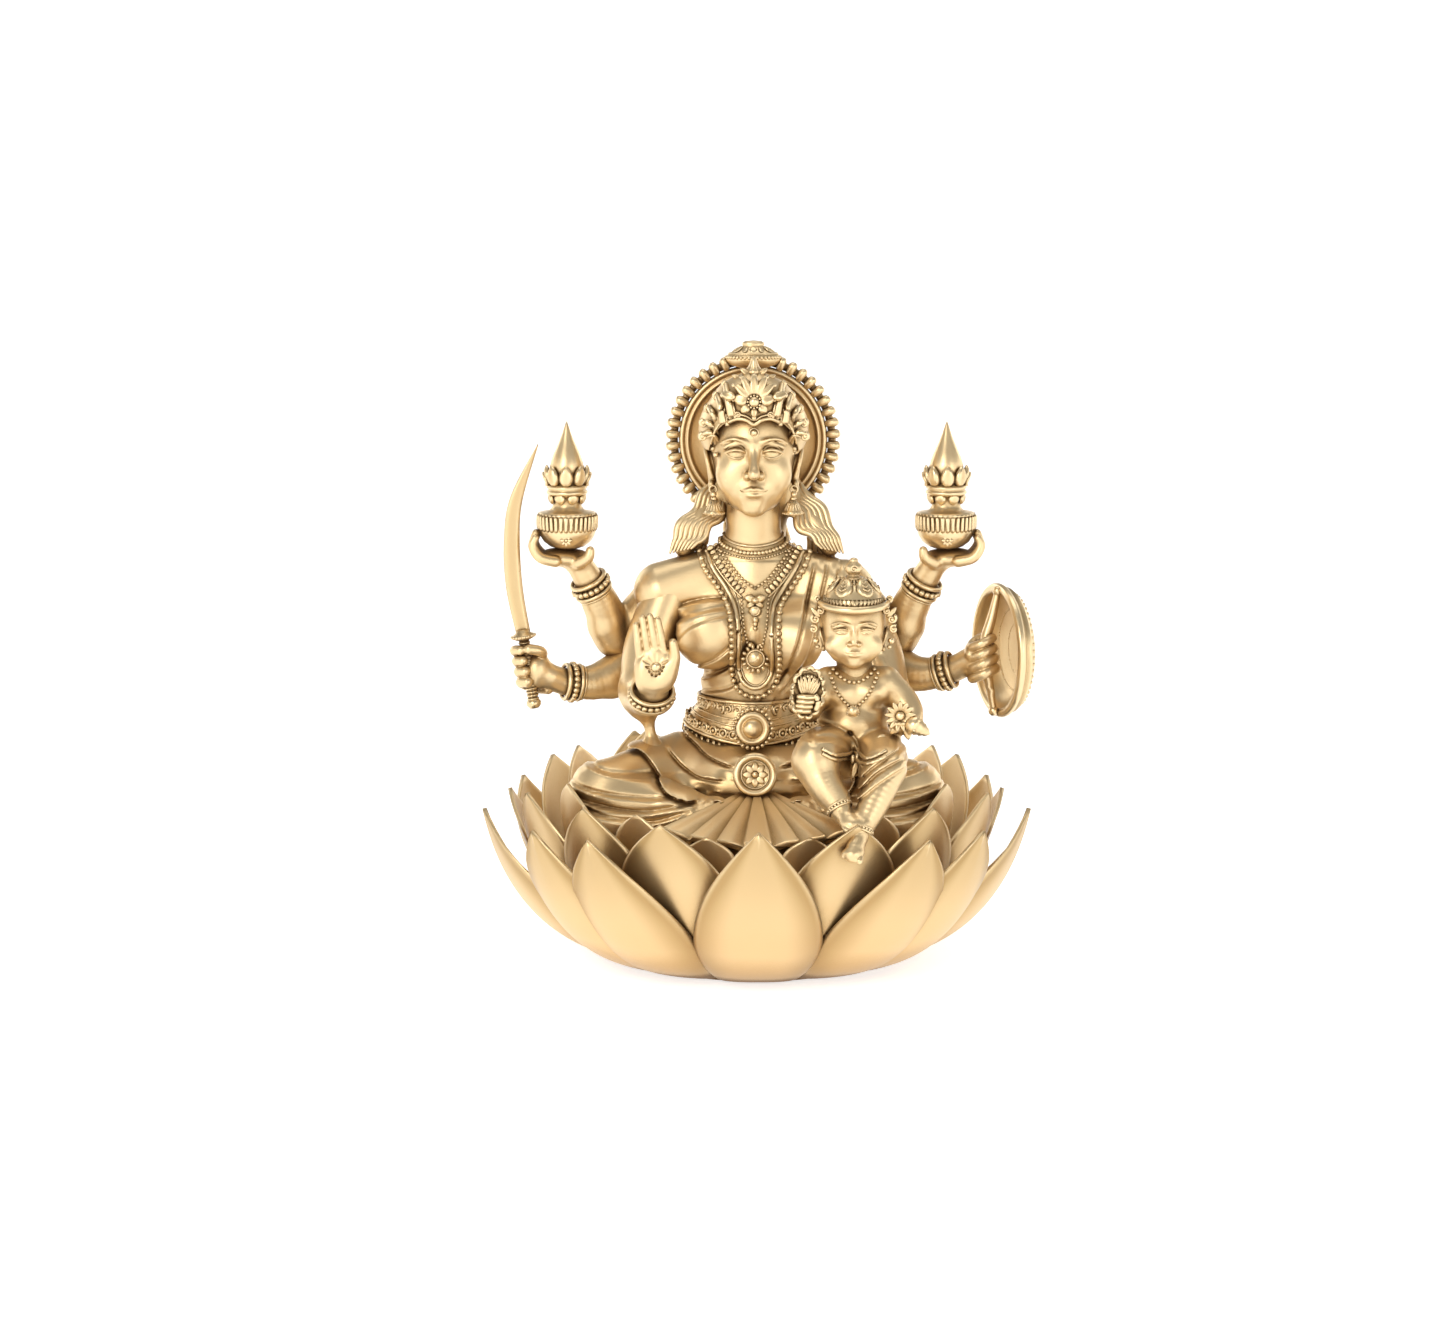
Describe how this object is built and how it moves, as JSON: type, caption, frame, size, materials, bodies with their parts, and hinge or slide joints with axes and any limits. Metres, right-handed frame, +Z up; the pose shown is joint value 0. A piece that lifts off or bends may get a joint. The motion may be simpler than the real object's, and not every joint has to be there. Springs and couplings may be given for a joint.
{
  "type": "hindu deity statue",
  "caption": "Seated six-armed deity statuette in satin brass: a child on the lap, a toothed halo, pots, sword and shield in the hands, on a lotus throne of layered petals.",
  "frame": {"origin": "middle of the flat underside of the base", "axes": "+Z up through the halo; the figure faces -Y; +X is the figure's left, the side the child sits on"},
  "size_m": [0.2645, 0.2672, 0.2957],
  "materials": {
    "cast_brass": "satin cast brass, brushed light on the high places with brown patina left in the recesses",
    "bright_brass": "satin brass, hand-rubbed brighter on beads, rims and ridges",
    "dark_brass": "as-cast brass, dull and darker",
    "steel_hardware": "plain turned steel"
  },
  "bodies": {
    "root": {"base_cover": "dark_brass", "lotus_bowl": "cast_brass", "seat_bolt": "steel_hardware", "seat_nut": "steel_hardware", "inner_petal_ring": "cast_brass", "middle_petal_01": "cast_brass", "middle_petal_02": "cast_brass", "middle_petal_03": "cast_brass", "middle_petal_04": "cast_brass", "middle_petal_05": "cast_brass", "middle_petal_06": "cast_brass", "middle_petal_07": "cast_brass", "middle_petal_08": "cast_brass", "middle_petal_09": "cast_brass", "middle_petal_10": "cast_brass", "middle_petal_11": "cast_brass", "middle_petal_12": "cast_brass", "outer_petal_01": "cast_brass", "outer_petal_02": "cast_brass", "outer_petal_03": "cast_brass", "outer_petal_04": "cast_brass", "outer_petal_05": "cast_brass", "outer_petal_06": "cast_brass", "outer_petal_07": "cast_brass", "outer_petal_08": "cast_brass", "outer_petal_09": "cast_brass", "outer_petal_10": "cast_brass", "outer_petal_11": "cast_brass", "outer_petal_12": "cast_brass", "torso": "cast_brass", "head": "cast_brass", "lap_drapery": "cast_brass", "halo_bolt": "bright_brass", "halo_plate": "cast_brass", "halo_rim": "cast_brass", "halo_finial": "cast_brass", "crown": "bright_brass", "sword": "bright_brass", "kalash_right": "bright_brass", "kalash_left": "bright_brass", "shield_grip": "bright_brass", "child_body": "cast_brass", "child_head": "cast_brass", "child_cap": "bright_brass", "blessing_arm": "cast_brass", "sword_arm": "cast_brass", "kalash_arm_right": "cast_brass", "kalash_arm_left": "cast_brass", "shield_arm": "cast_brass", "shield": "bright_brass", "cradle_arm": "cast_brass", "hair": "cast_brass", "lower_buckle": "bright_brass", "upper_buckle": "bright_brass", "belt": "bright_brass", "pleat_fan": "cast_brass", "choker": "bright_brass", "long_necklace": "bright_brass", "child_flower_right": "bright_brass", "child_flower_left": "bright_brass"}
  },
  "joints": []
}
